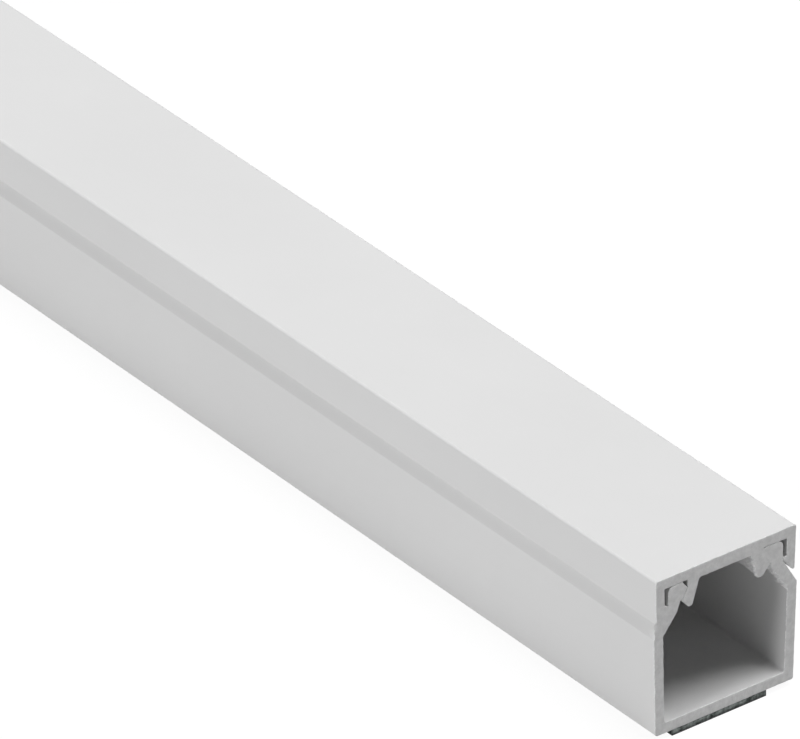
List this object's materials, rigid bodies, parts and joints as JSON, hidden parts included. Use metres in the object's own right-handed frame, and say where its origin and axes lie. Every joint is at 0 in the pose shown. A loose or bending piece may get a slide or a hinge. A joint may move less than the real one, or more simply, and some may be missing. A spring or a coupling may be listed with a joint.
{
  "type": "adhesive cable trunking",
  "caption": "Straight length of square plastic mini trunking: open channel base, clip-on lid and a self-adhesive foam strip with its liner, sawn square at both ends.",
  "frame": {"origin": "middle of the length and width, on the underside of the tape's liner, where the stock lies on the floor", "axes": "+X along the stock, +Y across it, +Z from the adhesive face to the lid"},
  "size_m": [1, 0.016, 0.0166],
  "materials": {
    "pvc_base": "satin",
    "pvc_lid": "satin",
    "foam": "matte",
    "liner_film": "satin"
  },
  "bodies": {
    "trunking": {"trunking_base": "pvc_base", "foam_tape": "foam", "release_liner": "liner_film"},
    "lid": {"trunking_lid": "pvc_lid"}
  },
  "joints": [
    {"name": "lid_slide", "type": "slide", "parent": "trunking", "child": "lid", "axis": [1, 0, 0], "range_m": [-1, 1]}
  ]
}
